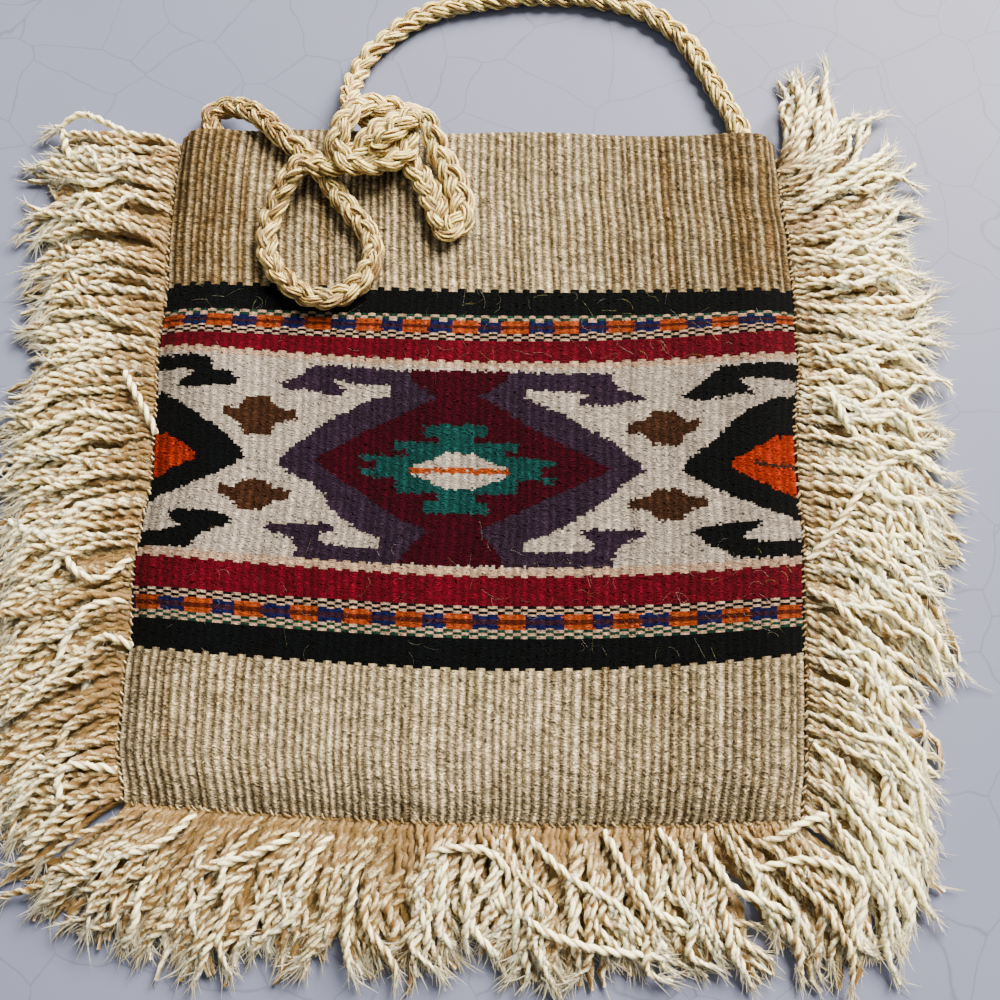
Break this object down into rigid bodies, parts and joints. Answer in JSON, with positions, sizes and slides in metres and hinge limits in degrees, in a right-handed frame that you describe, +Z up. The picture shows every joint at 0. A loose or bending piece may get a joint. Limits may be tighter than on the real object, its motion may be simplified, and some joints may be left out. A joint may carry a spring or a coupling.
{
  "type": "woven wool fringe bag",
  "caption": "Flat woven wool shoulder bag with a banded front, an open pocket, plied yarn fringe along three seams and a braided strap knotted in loops near the mouth.",
  "frame": {"origin": "middle of the back panel's resting face, on the surface that the bag lies on", "axes": "+X to the bag's right, +Y towards its mouth, +Z up through the front"},
  "size_m": [0.433, 0.4613, 0.0327],
  "materials": {
    "cloth_front": "weft-faced ribbed wool",
    "cloth_back": "weft-faced ribbed wool",
    "fringe_yarn": "two-ply cream wool",
    "strap_braid": "three-strand wool braid"
  },
  "bodies": {
    "root": {"back_panel": "cloth_back", "front_panel": "cloth_front", "fringe_left": "fringe_yarn", "fringe_right": "fringe_yarn", "fringe_bottom": "fringe_yarn", "strap_loop": "strap_braid", "strap_knot": "strap_braid", "strap_bight": "strap_braid", "strap_arch": "strap_braid"}
  },
  "joints": []
}
